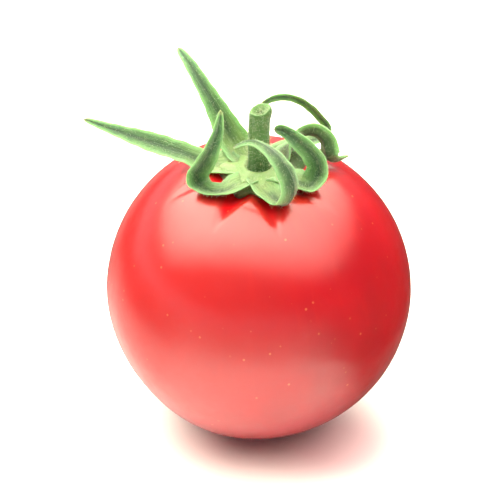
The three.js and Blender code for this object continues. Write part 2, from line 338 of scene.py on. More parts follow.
def palette(**codes):
    """Named linear colours from hex codes."""
    return {name: paint(code) for name, code in codes.items()}


def new_material(name):
    """A material and its empty node tree."""
    material = bpy.data.materials.new(name)
    material.use_nodes = True
    material.node_tree.nodes.clear()
    return material, material.node_tree


def add(tree, kind, inputs, **settings):
    """A node with its settings, its inputs linked to sockets or set to values."""
    node = tree.nodes.new(kind)
    for key, value in settings.items():
        setattr(node, key, value)
    for key, value in inputs.items():
        if isinstance(value, bpy.types.NodeSocket):
            tree.links.new(value, node.inputs[key])
        else:
            node.inputs[key].default_value = value
    return node


def add_surface(tree, inputs):
    """Ends the tree with a principled shader that has these inputs."""
    shader = add(tree, "ShaderNodeBsdfPrincipled", inputs)
    add(tree, "ShaderNodeOutputMaterial", {"Surface": shader.outputs["BSDF"]})


def object_place(tree):
    """The place on the piece, in metres from the piece's own origin."""
    return add(tree, "ShaderNodeTexCoord", {}).outputs["Object"]


def attribute(tree, name, output="Fac"):
    return add(tree, "ShaderNodeAttribute", {}, attribute_name=name).outputs[output]


def axes_of(tree, vector):
    return add(tree, "ShaderNodeSeparateXYZ", {0: vector}).outputs


def distance(tree, place, spot):
    """How far, in metres, places are from a spot given in millimetres."""
    inputs = {0: place, 1: [c * MM for c in spot]}
    return add(tree, "ShaderNodeVectorMath", inputs, operation="DISTANCE").outputs["Value"]


def math_node(tree, operation, first, second=0.0):
    return add(tree, "ShaderNodeMath", {0: first, 1: second}, operation=operation).outputs[0]


def times(tree, first, second):
    return math_node(tree, "MULTIPLY", first, second)


def remap(tree, value, low, high, to_low=0.0, to_high=1.0):
    """A value carried smoothly from one range to another and held at its ends."""
    inputs = {"Value": value, "From Min": low, "From Max": high, "To Min": to_low, "To Max": to_high}
    return add(tree, "ShaderNodeMapRange", inputs, interpolation_type="SMOOTHSTEP").outputs[0]


def up_to(tree, value, most):
    """A value from 0 to 1 carried smoothly to the range from 0 to most."""
    return remap(tree, value, 0.0, 1.0, 0.0, most)


def mix(tree, share, first, second):
    """The first colour turned into the second by a share."""
    inputs = {0: share, 6: first, 7: second}
    return add(tree, "ShaderNodeMix", inputs, data_type="RGBA").outputs[2]


def cloud(tree, vector, scale, detail=3.0):
    """Noise with so many lumps to the vector's unit, which for places is a metre."""
    inputs = {"Vector": vector, "Scale": scale, "Detail": detail}
    return add(tree, "ShaderNodeTexNoise", inputs).outputs[0]


def patchy(tree, vector, scale, detail=3.0):
    """Noise drawn out to patches of 0 and 1 with soft borders."""
    return remap(tree, cloud(tree, vector, scale, detail), 0.35, 0.65)


def bump(tree, height, depth, strength, normal=None):
    """Relief of a given depth in millimetres, on top of the relief in normal."""
    inputs = {"Height": height, "Distance": depth * MM, "Strength": strength}
    if normal is not None:
        inputs["Normal"] = normal
    return add(tree, "ShaderNodeBump", inputs).outputs[0]


# ---- Materials: skin ----

SKIN = palette(
    flesh="960213",
    patch="a80817",
    streak="b81814",
    shoulder="e8521c",
    # Painted light: a paler red painted on the side towards the light.
    pale_side="ac2020",
    # Painted shade: a deeper red painted on the side turned from the light.
    ripe_side="8c0008",
    # Painted shade: a deep saturated red painted in the shoulder's furrows, where the sepals shade
    # them.
    crease="c8000a",
    speck="f2a060",
    scar="7a4a26",
)
# The skin's relief from coarse to fine: [lumps to the metre, detail, depth].
SKIN_RELIEF = [[300, 1.0, 0.12], [700, 2.0, 0.035], [5200, 2.0, 0.006]]
SPECK_CELLS = 760.0
SPECK_RELIEF = 0.012
SKIN_LIGHT_DEPTH = 2.4


def skin_specks(tree, place):
    """Fine pale specks, in some places clearer than in others."""
    inputs = {"Vector": place, "Scale": SPECK_CELLS, "Randomness": 1.0}
    cells = add(tree, "ShaderNodeTexVoronoi", inputs)
    dots = remap(tree, cells.outputs["Distance"], 0.05, 0.12, 1.0, 0.0)
    clearness = remap(tree, cloud(tree, place, 900, 0.0), 0.38, 0.62, 0.0, 0.26)
    return times(tree, dots, clearness)


def skin_colour(tree, place, crease, scar, specks):
    """Patchy, streaked red flesh, orange by the stalk, with painted light paler to the left and painted
    shade deeper to the right and in the furrows.
    """
    meridian = attribute(tree, "meridian", "Vector")
    colour = mix(tree, patchy(tree, place, 130, 2.0), SKIN["flesh"], SKIN["patch"])
    streaks = remap(tree, cloud(tree, meridian, 13), 0.5, 0.75, 0.0, 0.25)
    colour = mix(tree, streaks, colour, SKIN["streak"])
    orange = remap(tree, cloud(tree, meridian, 9), 0.3, 0.7, 0.3, 0.9)
    orange = times(tree, attribute(tree, "stalk_end"), orange)
    colour = mix(tree, orange, colour, SKIN["shoulder"])
    # Painted light: the side towards the light, left and front, is painted a paler red.
    colour = mix(tree, attribute(tree, "pale"), colour, SKIN["pale_side"])
    # Painted shade: the side turned from the light, right and low, is painted an unevenly deeper red.
    uneven = remap(tree, cloud(tree, place, 160, 2.0), 0.3, 0.7, 0.75, 1.0)
    ripe = times(tree, attribute(tree, "painted_shade_flank"), uneven)
    colour = mix(tree, ripe, colour, SKIN["ripe_side"])
    # Painted shade: the furrows under the sepals are painted a deep saturated red.
    colour = mix(tree, crease, colour, SKIN["crease"])
    colour = mix(tree, specks, colour, SKIN["speck"])
    return mix(tree, scar, colour, SKIN["scar"])


def skin_roughness(tree, place, crease, scar):
    """Nearly even, but duller in the creases and on the scar."""
    rough = remap(tree, cloud(tree, place, 420, 4.0), 0.3, 0.7, 0.36, 0.44)
    rough = math_node(tree, "ADD", rough, times(tree, scar, 0.4))
    return math_node(tree, "ADD", rough, times(tree, crease, 0.35))


def skin_relief(tree, place, specks):
    """Slow waves, ripples and pores, with the specks a little raised."""
    relief = None
    for scale, detail, depth in SKIN_RELIEF:
        relief = bump(tree, cloud(tree, place, scale, detail), depth, 0.5, relief)
    return bump(tree, specks, SPECK_RELIEF, 0.5, relief)


def skin_material():
    """Ripe skin: red flesh that light sinks into, under a coat of wax that the creases lack."""
    material, tree = new_material("ripe_skin")
    place = object_place(tree)
    crease = attribute(tree, "crease")
    scar = attribute(tree, "scar")
    specks = skin_specks(tree, place)
    add_surface(tree, {
        "Base Color": skin_colour(tree, place, crease, scar, specks),
        "Roughness": skin_roughness(tree, place, crease, scar),
        "Normal": skin_relief(tree, place, specks),
        "IOR": 1.5,
        "Specular IOR Level": 0.15,
        "Subsurface Weight": 0.5,
        "Subsurface Radius": (1.0, 0.2, 0.1),
        "Subsurface Scale": SKIN_LIGHT_DEPTH * MM,
        "Coat Weight": remap(tree, crease, 0.0, 0.8, 0.9, 0.0),
        "Coat IOR": 1.55,
        "Coat Roughness": 0.2,
    })
    return material


# ---- Materials: calyx, stalk and hairs ----

LEAF = palette(
    root="86a162",
    middle="436e3d",
    tip="396b46",
    under_root="718851",
    under="44613d",
    vein="39592c",
    patch="719a5c",
    # Painted shade: the dark colour painted in the hollow between the two back sepals on the right.
    hollow="35451e",
    midline="2a472c",
    # Painted light: the pale colour painted on the sepals' edges, for light shining through their
    # hairs.
    rim="7ead71",
    dry_tip="9e8760",
)
STALK = palette(
    # Painted shade: the darker green painted at the stalk's foot, where its lower part lies in shade.
    foot="2a4819",
    bark="497237",
    fibre="335926",
    patch="628a4f",
    cut_rim="60884b",
    cut_flesh="4e6e39",
    pith="344721",
)
HAIR = palette(root="94ac75", tip="cdd5b5")
LEAF_LIGHT_DEPTH = 0.6
STALK_LIGHT_DEPTH = 0.4
HAIR_LIGHT_DEPTH = 0.1
FIBRE_STRETCH = 0.16


def leaf_colour(tree, along, across, veins, patches):
    """Yellow-green at the root, greener outwards, with a dark midline and a dry tip; its pale edges are
    painted light, and the hollow by the stalk painted shade.
    """
    upper = mix(tree, remap(tree, along, 0.12, 0.5), LEAF["root"], LEAF["middle"])
    upper = mix(tree, remap(tree, along, 0.6, 0.95), upper, LEAF["tip"])
    under = mix(tree, remap(tree, along, 0.1, 0.5), LEAF["under_root"], LEAF["under"])
    colour = mix(tree, attribute(tree, "lower"), upper, under)
    colour = mix(tree, up_to(tree, veins, 0.45), colour, LEAF["vein"])
    colour = mix(tree, up_to(tree, patches, 0.35), colour, LEAF["patch"])
    # Painted shade: the hollow between the two back sepals on the right is painted dark.
    colour = mix(tree, attribute(tree, "hollow"), colour, LEAF["hollow"])

    off_middle = math_node(tree, "ABSOLUTE", across)
    midline = remap(tree, off_middle, 0.06, 0.5, 0.75, 0.0)
    midline = times(tree, midline, remap(tree, along, 0.12, 0.3))
    colour = mix(tree, midline, colour, LEAF["midline"])
    # Painted light: the sepals' edges are painted pale, for light shining through their hairs.
    colour = mix(tree, remap(tree, off_middle, 0.5, 0.95, 0.0, 0.8), colour, LEAF["rim"])
    return mix(tree, remap(tree, along, 0.955, 1.0, 0.0, 0.5), colour, LEAF["dry_tip"])


def leaf_material():
    """Sepals: veined lengthwise, thin enough for light to come through, with a faint down."""
    material, tree = new_material("sepal_leaf")
    place = object_place(tree)
    along = attribute(tree, "along")
    across = attribute(tree, "across")
    inputs = {0: times(tree, across, 6.0), 1: times(tree, along, 9.0), 2: attribute(tree, "blade")}
    veins = patchy(tree, add(tree, "ShaderNodeCombineXYZ", inputs).outputs[0], 1.6)
    patches = patchy(tree, place, 900)
    relief = bump(tree, veins, 0.05, 0.7)
    add_surface(tree, {
        "Base Color": leaf_colour(tree, along, across, veins, patches),
        "Roughness": remap(tree, patches, 0.0, 1.0, 0.36, 0.54),
        "Normal": bump(tree, cloud(tree, place, 3600, 2.0), 0.02, 0.6, relief),
        "Subsurface Weight": 0.45,
        "Subsurface Radius": (0.8, 1.0, 0.6),
        "Subsurface Scale": LEAF_LIGHT_DEPTH * MM,
        "Sheen Weight": 0.25,
        "Sheen Roughness": 0.4,
    })
    return material


def stalk_colour(tree, fibres, patches):
    """Green bark, with painted shade darkening it towards the foot, and at the cut a pale rim round
    darker pith.
    """
    inward = attribute(tree, "inward")
    # Painted shade: the bark is painted darker towards the foot.
    bark = mix(tree, remap(tree, attribute(tree, "along"), 0.0, 0.55), STALK["foot"], STALK["bark"])
    bark = mix(tree, up_to(tree, fibres, 0.35), bark, STALK["fibre"])
    bark = mix(tree, up_to(tree, patches, 0.3), bark, STALK["patch"])
    flesh = mix(tree, remap(tree, inward, 0.1, 0.5), STALK["cut_rim"], STALK["cut_flesh"])
    flesh = mix(tree, remap(tree, inward, 0.5, 0.95), flesh, STALK["pith"])
    return mix(tree, attribute(tree, "cut"), bark, flesh)


def stalk_material():
    """The stalk: matt, with fibres along its length."""
    material, tree = new_material("stalk_bark")
    place = object_place(tree)
    inputs = {"Vector": place, "Scale": (1.0, 1.0, FIBRE_STRETCH)}
    fibres = patchy(tree, add(tree, "ShaderNodeMapping", inputs).outputs[0], 2600)
    patches = patchy(tree, place, 800)
    relief = bump(tree, fibres, 0.04, 0.6)
    add_surface(tree, {
        "Base Color": stalk_colour(tree, fibres, patches),
        "Roughness": remap(tree, patches, 0.0, 1.0, 0.5, 0.7),
        "Normal": bump(tree, cloud(tree, place, 4200, 2.0), 0.015, 0.6, relief),
        "Subsurface Weight": 0.2,
        "Subsurface Radius": (0.5, 1.0, 0.3),
        "Subsurface Scale": STALK_LIGHT_DEPTH * MM,
        "Sheen Weight": 0.25,
        "Sheen Roughness": 0.4,
    })
    return material


def hair_material():
    """Fine pale hairs, a little greener towards the root."""
    material, tree = new_material("plant_hair")
    add_surface(tree, {
        "Base Color": mix(tree, attribute(tree, "along"), HAIR["root"], HAIR["tip"]),
        "Roughness": 0.5,
        "Subsurface Weight": 0.2,
        "Subsurface Scale": HAIR_LIGHT_DEPTH * MM,
    })
    return material


# ---- Fruit ----

# The way that the skin's painted shade faces: right and low, away from the light.
PAINTED_SHADE_SIDE = unit(0.88, -0.22, -0.42)
# The way that the skin's painted light faces: left and front, towards the light.
PAINTED_LIGHT_SIDE = unit(-0.75, -0.62, 0.2)
STREAK_STRETCH = 0.22
STALK_END_RADIUS = 5.5


def skin_radius(directions):
    """How far the skin is from the fruit's centre, along unit directions."""
    from_axis = np.hypot(directions[:, 0], directions[:, 1])
    arc = FRUIT_RADIUS * np.arctan2(from_axis, directions[:, 2])
    around = np.arctan2(directions[:, 1], directions[:, 0])
    dimple = DIMPLE_DEPTH * hump(arc, DIMPLE_RADIUS)
    lobes = LOBE_HEIGHT * from_axis**2 * np.cos(LOBE_COUNT * around + LOBE_TURN)
    angle = np.arccos(np.clip(directions @ FLAT_SIDE, -1, 1))
    flat = FLAT_SIDE_DEPTH * hump(angle, FLAT_SIDE_SPREAD)
    return FRUIT_RADIUS - dimple + lobes - flat - furrow_depth(from_axis, arc, around)


def furrow_depth(from_axis, arc, around):
    """How deep the shoulder's furrows are at places on the skin."""
    outward = np.clip((arc - FURROW_WIDEST) / (FURROW_END - FURROW_WIDEST), 0, 1)
    along = smooth_step(FURROW_START, FURROW_WIDEST, arc) * (1 - outward) ** FURROW_FADE
    half_width = FURROW_TIP_HALF_WIDTH + FURROW_HALF_WIDTH * (1 - outward)
    total = np.zeros_like(arc)
    for turn, depth in FURROWS:
        across = FRUIT_RADIUS * from_axis * np.abs(turn_between(around, math.radians(turn)))
        total += depth * along * (1 - smooth_step(0, 1, across / half_width))
    return total


def off_skin(points):
    """How far points are outside the skin, and their ways out from the fruit's centre."""
    out = points - CENTRE
    reach = np.linalg.norm(out, axis=1)
    out = out / reach[:, None]
    return reach - skin_radius(out), out


def sphere_directions(rings, segments):
    """Directions ring by ring from top to bottom, closest together at the two ends."""
    share = np.linspace(0, 1, rings + 1)
    polar = math.pi * (share - RING_CROWDING * np.sin(2 * math.pi * share) / (2 * math.pi))
    around = np.linspace(0, 2 * math.pi, segments, endpoint=False)
    polar, around = np.meshgrid(polar[1:-1], around, indexing="ij")
    polar = np.concatenate([[0.0], polar.ravel(), [math.pi]])
    around = np.concatenate([[0.0], around.ravel(), [0.0]])
    side = np.sin(polar)
    return np.stack([side * np.cos(around), side * np.sin(around), np.cos(polar)], 1), polar, around


def sphere_faces(rings, segments):
    """Quads between the rings, and a fan at each end."""
    faces = []
    last = 1 + (rings - 1) * segments
    for segment in range(segments):
        following = (segment + 1) % segments
        faces.append((0, 1 + segment, 1 + following))
        for ring in range(rings - 2):
            upper = 1 + ring * segments
            lower = upper + segments
            faces.append((upper + segment, lower + segment, lower + following, upper + following))
        bottom = 1 + (rings - 2) * segments
        faces.append((last, bottom + following, bottom + segment))
    return faces


def fruit_points(directions, polar):
    """The skin's points, with faint waves, a rounded resting spot and the scar's pit round its nub."""
    waves = sum(height * bumps(directions, size, seed) for height, size, seed in SKIN_WAVES)
    radius = skin_radius(directions) + waves * np.sin(polar)
    points = CENTRE + directions * radius[:, None]
    height = points[:, 2]
    points[:, 2] = (height + np.sqrt(height**2 + REST_SPOT_BLEND**2)) / 2
    from_axis = np.hypot(points[:, 0], points[:, 1])
    pit = hump(from_axis, SCAR_RADIUS) - SCAR_NUB * hump(3 * from_axis, SCAR_RADIUS)
    points[:, 2] += np.where(polar > math.pi / 2, SCAR_DEPTH * pit, 0)
    return points


def fruit_values(points, directions, polar, around):
    """How strongly each colour of the skin, and the painted light and shade on it, shows at each point,
    and the run of its streaks.
    """
    arc = FRUIT_RADIUS * polar
    from_axis = np.hypot(points[:, 0], points[:, 1])
    scar_edge = from_axis + SCAR_RAGGEDNESS * bumps(directions, 0.5, 3)
    scar = 1 - smooth_step(0.6 * SCAR_RADIUS, 1.5 * SCAR_RADIUS, scar_edge)
    furrows = furrow_depth(np.sin(polar), arc, around)
    return {
        "meridian": np.stack([np.cos(around), np.sin(around), STREAK_STRETCH * polar], 1),
        "stalk_end": 0.5 * hump(arc, STALK_END_RADIUS),
        "scar": 0.85 * np.where(polar > math.pi / 2, scar, 0),
        # The furrows' mask, which dulls the wax there and carries the painted shade in them.
        "crease": 0.9 * smooth_step(0.1, 0.38, furrows),
        # Painted shade: how strongly the deeper red shows on the side turned from the light.
        "painted_shade_flank": 0.85 * smooth_step(0.15, 0.95, directions @ PAINTED_SHADE_SIDE),
        # Painted light: how strongly the paler red shows on the side towards the light.
        "pale": 0.8 * smooth_step(0.1, 0.9, directions @ PAINTED_LIGHT_SIDE),
    }


def fruit_piece():
    """The berry, with a scar below and a rounded resting spot."""
    directions, polar, around = sphere_directions(FRUIT_RINGS, FRUIT_SEGMENTS)
    points = fruit_points(directions, polar)
    values = fruit_values(points, directions, polar, around)
    return mesh_object("tomato_fruit", points, sphere_faces(FRUIT_RINGS, FRUIT_SEGMENTS), values)


# ---- Calyx: sepals ----


def curve_through(values, steps):
    """A smooth run through the rows of values, with its rate of change, steps to a span."""
    values = np.asarray(values, float)
    padded = np.vstack([2 * values[0] - values[1], values, 2 * values[-1] - values[-2]])
    spans = len(values) - 1
    share = np.linspace(0, spans, spans * steps + 1)
    span = np.minimum(share.astype(int), spans - 1)
    t = (share - span)[:, None]
    p0, p1, p2, p3 = (padded[span + i] for i in range(4))
    start, end = (p2 - p0) / 2, (p3 - p1) / 2
    square = -3 * p1 + 3 * p2 - 2 * start - end
    cube = 2 * p1 - 2 * p2 + start + end
    return p1 + start * t + square * t**2 + cube * t**3, start + 2 * square * t + 3 * cube * t**2


def blade_frames(stations):
    """Places along a blade: point, up, side, half width and length from the root."""
    stations = np.array(stations, float)
    path = stations[:, :3] + [0, 0, CALYX_LEVEL]
    points, rates = curve_through(path, BLADE_STEPS_PER_SPAN)
    tangents = rates / np.linalg.norm(rates, axis=1)[:, None]
    half_widths, _ = curve_through(stations[:, 3:4] / 2, BLADE_STEPS_PER_SPAN)
    rolls, _ = curve_through(np.radians(stations[:, 4:5]), BLADE_STEPS_PER_SPAN)
    lengths = np.concatenate([[0], np.cumsum(np.linalg.norm(np.diff(points, axis=0), axis=1))])

    normal = np.array([0.0, 0.0, 1.0])
    ups = []
    for tangent, roll in zip(tangents, rolls[:, 0]):
        normal = normal - tangent * (normal @ tangent)
        normal = normal / np.linalg.norm(normal)
        ups.append(normal * math.cos(roll) + np.cross(tangent, normal) * math.sin(roll))
    ups = np.array(ups)
    return points, ups, np.cross(tangents, ups), half_widths[:, 0], lengths


def blade_spread(across, width, length, seed):
    """How far a blade's places are to the side of its middle line, with slightly uneven edges."""
    phase = BLADE_SLIP_RATE * length + BLADE_SLIP_STEP * seed
    slip = BLADE_SLIP * np.sin(phase) * np.sign(across) * across**2
    return across * width + slip * np.minimum(width, 1)


def blade_lift(across, width, length, seed):
    """How far a blade's places are above its middle line, by its cup, its fold and its waved edges."""
    phase = BLADE_WAVE_RATE * length + BLADE_WAVE_STEP * seed + BLADE_EDGES_APART * np.sign(across)
    wave = np.sin(phase) * np.abs(across) ** 2
    fold = BLADE_FOLD * width * (np.abs(across) - BLADE_FOLD_LINE)
    return SEPAL_CUP * width * across**2 + fold + BLADE_WAVE * wave * np.minimum(width, 1)


def blade_halves(across, width, length):
    """A blade's thickness above and below its middle: swollen at its root and ribbed below."""
    slimming = np.minimum(1, THIN_SHARE + width)
    root_swell = 1 + ROOT_SWELL * hump(length, ROOT_SWELL_LENGTH)
    half = (BLADE_EDGE_THICKNESS + (BLADE_THICKNESS - BLADE_EDGE_THICKNESS) * (1 - across**2)) / 2
    half = half * root_swell * slimming
    rib = MIDRIB_HEIGHT * hump(across, MIDRIB_WIDTH) * slimming
    return half - 0.5 * rib, half + rib


def settle_on_skin(upper, lower):
    """Presses a blade's faces down onto the skin where they run close above it."""
    heights, out = off_skin(lower)
    sink = SETTLING * (1 - smooth_step(SETTLING_NEAR, SETTLING_FAR, heights))
    wanted = np.maximum(heights - sink, SKIN_TOUCH)
    shift = out * (wanted - heights)[:, None]
    return upper + shift, lower + shift


def sheet_faces(rows, columns):
    """Quads over a grid of points, over a second grid that follows it, and round their shared rim."""
    count = rows * columns

    def at(row, column):
        return row * columns + column

    faces = []
    for row in range(rows - 1):
        for column in range(columns - 1):
            a, b = at(row, column), at(row, column + 1)
            c, d = at(row + 1, column + 1), at(row + 1, column)
            faces.append((a, b, c, d))
            faces.append((count + a, count + d, count + c, count + b))
    rim = (
        [at(0, column) for column in range(columns)]
        + [at(row, columns - 1) for row in range(1, rows)]
        + [at(rows - 1, column) for column in reversed(range(columns - 1))]
        + [at(row, 0) for row in reversed(range(1, rows - 1))]
    )
    for first, second in zip(rim, rim[1:] + rim[:1]):
        faces.append((second, first, count + first, count + second))
    return faces


def blade_mesh(stations, seed):
    """Points, faces and values of one sepal: a thin folded blade with a midrib and waved edges."""
    points, ups, sides, half_widths, lengths = blade_frames(stations)
    to_tip = lengths[-1] - lengths
    closing = np.clip(1 - to_tip / TIP_ROUNDING, 0, TIP_CLOSING)
    half_widths = half_widths * np.sqrt(1 - closing**2)
    columns = np.sin(np.linspace(-math.pi / 2, math.pi / 2, BLADE_COLUMNS))
    along, across = np.meshgrid(lengths / lengths[-1], columns, indexing="ij")
    width, length = half_widths[:, None], lengths[:, None]

    ups = ups[:, None, :]
    spread = blade_spread(across, width, length, seed)[:, :, None]
    lift = blade_lift(across, width, length, seed)[:, :, None]
    middle = points[:, None, :] + sides[:, None, :] * spread + ups * lift
    above, below = blade_halves(across, width, length)
    upper = (middle + ups * above[:, :, None]).reshape(-1, 3)
    lower = (middle - ups * below[:, :, None]).reshape(-1, 3)

    narrow = np.clip(1 - width / NARROW_HALF_WIDTH, 0, NARROW_MOST)
    off_middle = np.abs(across) + narrow * (1 - np.abs(across))
    count = across.size
    values = {
        "along": np.tile(along.ravel(), 2),
        "across": np.tile((np.sign(across) * off_middle).ravel(), 2),
        "lower": np.repeat([0.0, 1.0], count),
        "blade": np.full(2 * count, float(seed)),
    }
    return np.vstack(settle_on_skin(upper, lower)), sheet_faces(len(points), BLADE_COLUMNS), values


# ---- Calyx: receptacle ----


def receptacle_outline(around):
    """How far the receptacle reaches at turns round it, and how near they are to a sepal's root."""
    lobes = np.zeros_like(around)
    for stations in SEPALS.values():
        x, y = stations[1][:2]
        lobes = np.maximum(lobes, hump(turn_between(around, math.atan2(y, x)), LOBE_SPREAD))
    web = WEB_REACH * hump(turn_between(around, WEB_TURN), WEB_SPREAD)
    return RECEPTACLE_RADIUS * (1 - LOBE_REACH + LOBE_REACH * lobes) + web, lobes


def skin_height(radius, around):
    """How high the skin is at places round the stalk."""
    polar = np.arcsin(radius / FRUIT_RADIUS)
    side = np.sin(polar)
    ways = np.stack([side * np.cos(around), side * np.sin(around), np.cos(polar)], 2).reshape(-1, 3)
    return (CENTRE + ways * skin_radius(ways)[:, None])[:, 2].reshape(radius.shape)


def receptacle_thickness(share, radius, x, y, lobes):
    """Thickest in a collar round the stalk, grooved between the sepals, lumpy, and thin at its edge."""
    collar = COLLAR_HEIGHT * hump(radius - COLLAR_RADIUS, COLLAR_WIDTH)
    grooves = GROOVE_DEPTH * (1 - lobes) * smooth_step(GROOVE_START, GROOVE_END, share)
    flat = np.stack([x, y, 0 * x], 2).reshape(-1, 3)
    lumps = LUMP_HEIGHT * bumps(flat, LUMP_SIZE, 4).reshape(x.shape)
    return (RECEPTACLE_THICKNESS + collar - grooves + lumps * share) * np.sqrt(1 - share**6)


def disc_faces(rings, segments, top_middle, bottom_middle):
    """Faces of a disc whose upper and lower sides share their outer ring."""
    count = rings * segments

    def under(ring, segment):
        first = count if ring < rings - 1 else 0
        return first + ring * segments + segment

    faces = []
    for segment in range(segments):
        following = (segment + 1) % segments
        faces.append((top_middle, segment, following))
        faces.append((bottom_middle, under(0, following), under(0, segment)))
        for ring in range(rings - 1):
            a, b = ring * segments + segment, ring * segments + following
            faces.append((a, a + segments, b + segments, b))
            c, d = under(ring, segment), under(ring, following)
            faces.append((c, d, under(ring + 1, following), under(ring + 1, segment)))
    return faces


def receptacle_mesh():
    """Points, faces and values of the fleshy lobed disc that the sepals grow from."""
    rings, segments = RECEPTACLE_RINGS, RECEPTACLE_SEGMENTS
    share = np.linspace(0, 1, rings + 1)[1:]
    around = np.linspace(0, 2 * math.pi, segments, endpoint=False)
    share, around = np.meshgrid(share, around, indexing="ij")
    reach, lobes = receptacle_outline(around)
    radius = share * reach
    x, y = radius * np.cos(around), radius * np.sin(around)
    bottom = skin_height(radius, around) - RECEPTACLE_SINK
    top = bottom + receptacle_thickness(share, radius, x, y, lobes)
    points = np.vstack([
        np.stack([x, y, top], 2).reshape(-1, 3),
        np.stack([x, y, bottom], 2)[:-1].reshape(-1, 3),
        [0.0, 0.0, RECEPTACLE_TOP - RECEPTACLE_HOLLOW],
        [0.0, 0.0, CENTRE[2] + FRUIT_RADIUS - DIMPLE_DEPTH - RECEPTACLE_SINK],
    ])

    from_web = turn_between(np.arctan2(points[:, 1], points[:, 0]), WEB_TURN)
    outward = np.hypot(points[:, 0], points[:, 1]) / RECEPTACLE_RADIUS
    values = {
        # Painted shade: the web is darkened by moving it along the sepals' colour from root to tip.
        "along": WEB_PAINTED_SHADE * hump(from_web, WEB_PAINTED_SHADE_SPREAD) * smooth_step(0.4, 1.1, outward),
        "across": np.full(len(points), RECEPTACLE_ACROSS),
        "lower": np.zeros(len(points)),
        "blade": np.full(len(points), RECEPTACLE_NUMBER),
    }
    return points, disc_faces(rings, segments, len(points) - 2, len(points) - 1), values


def calyx_piece():
    """The receptacle and its seven sepals."""
    parts = [receptacle_mesh()]
    parts += [blade_mesh(stations, seed) for seed, stations in enumerate(SEPALS.values())]
    faces = []
    start = 0
    for part_points, part_faces, _ in parts:
        faces += [tuple(start + corner for corner in face) for face in part_faces]
        start += len(part_points)
    points = np.vstack([part_points for part_points, _, _ in parts])
    values = {key: np.concatenate([part[2][key] for part in parts]) for key in parts[0][2]}
    # Painted shade: dark in the hollow's middle, fading out towards its edge.
    off_hollow_shade = np.linalg.norm(points - HOLLOW_SHADE_MIDDLE, axis=1)
    values["hollow"] = 0.85 * (1 - smooth_step(HOLLOW_SHADE_NEAR, HOLLOW_SHADE_FAR, off_hollow_shade))
    return mesh_object("tomato_calyx", points, faces, values)


# ---- Stalk ----


def stalk_points(share, inward, around):
    """The stub's points, up its bark and then inwards over its hollow sloping cut."""
    foot = RECEPTACLE_TOP - STALK_FOOT_SINK
    flare = STALK_FOOT_FLARE * np.exp(-STALK_FLARE_FADE * share)
    at_knuckle = hump(share - STALK_KNUCKLE_LEVEL, STALK_KNUCKLE_SPREAD)
    knuckle = STALK_KNUCKLE * np.maximum(np.cos(around), 0) * at_knuckle
    ridges = sum(
        height * np.cos(count * around + twist * share + turn)
        for height, count, twist, turn in STALK_RIDGES
    )
    outline = STALK_RADIUS + flare + knuckle + ridges * (1 - 0.5 * inward)
    radius = outline * (1 - inward)
    bow = STALK_BOW * np.sin(math.pi * share)
    slope = STALK_CUT_SLOPE * share**4 * radius * np.cos(around)
    ragged = STALK_CUT_RAGGEDNESS * np.cos(3 * around + 1) * share**12
    hollow = STALK_CUT_DEPTH * smooth_step(0.04, 0.5, inward)
    x = STALK_OFFSET - bow + radius * np.cos(around)
    y = bow + radius * np.sin(around)
    z = foot + (STALK_TOP - foot) * share + slope + ragged - hollow
    points = np.stack([x, y, z], 2).reshape(-1, 3)
    shifts = [bumps(points, STALK_UNEVENNESS_SIZE, seed) for seed in (5, 6, 7)]
    return points + STALK_UNEVENNESS * np.stack(shifts, 1)


def tube_faces(levels, sides):
    """Quads round a closed tube, and a fan at each end: the last two points are its middles."""
    top_middle = levels * sides
    bottom_middle = top_middle + 1

    def at(level, side):
        return level * sides + side % sides

    faces = []
    for side in range(sides):
        faces.append((top_middle, at(levels - 1, side), at(levels - 1, side + 1)))
        faces.append((bottom_middle, at(0, side + 1), at(0, side)))
        for level in range(levels - 1):
            quad = (at(level, side), at(level, side + 1), at(level + 1, side + 1), at(level + 1, side))
            faces.append(quad)
    return faces


def stalk_piece():
    """The stub of stalk, ridged along its length, with a knuckle and a hollow sloping cut."""
    share = np.concatenate([np.linspace(0, 1, STALK_LEVELS), np.ones(len(STALK_CUT_RINGS))])
    inward = np.concatenate([np.zeros(STALK_LEVELS), STALK_CUT_RINGS])
    around = np.linspace(0, 2 * math.pi, STALK_SIDES, endpoint=False)
    levels = len(share)
    share, around = np.meshgrid(share, around, indexing="ij")
    inward = np.repeat(inward[:, None], STALK_SIDES, 1)
    points = stalk_points(share, inward, around)
    cut_middle = points[-STALK_SIDES:].mean(0)
    foot_middle = points[:STALK_SIDES].mean(0)
    inward = np.concatenate([inward.ravel(), [1.0, 0.0]])
    values = {
        "along": np.concatenate([share.ravel(), [1.0, 0.0]]),
        "inward": inward,
        "cut": smooth_step(0.0, 0.1, inward),
    }
    points = np.vstack([points, cut_middle, foot_middle])
    return mesh_object("tomato_pedicel", points, tube_faces(levels, STALK_SIDES), values)


# ---- Hairs ----


def triangles_of(piece):
    """The three corners of each of a piece's triangles, in millimetres."""
    mesh = piece.data
    mesh.calc_loop_triangles()
    corners = np.zeros(len(mesh.loop_triangles) * 3, int)
    mesh.loop_triangles.foreach_get("vertices", corners)
    places = np.zeros(len(mesh.vertices) * 3)
    mesh.vertices.foreach_get("co", places)
    return (places.reshape(-1, 3) / MM)[corners.reshape(-1, 3)]


def off_fruit_only(triangles):
    """Keeps hairs on faces that look out from the fruit, clear of the skin."""
    heights, _ = off_skin(triangles.mean(1))
    return smooth_step(HAIR_BARE_HEIGHT, HAIR_FULL_HEIGHT, heights)


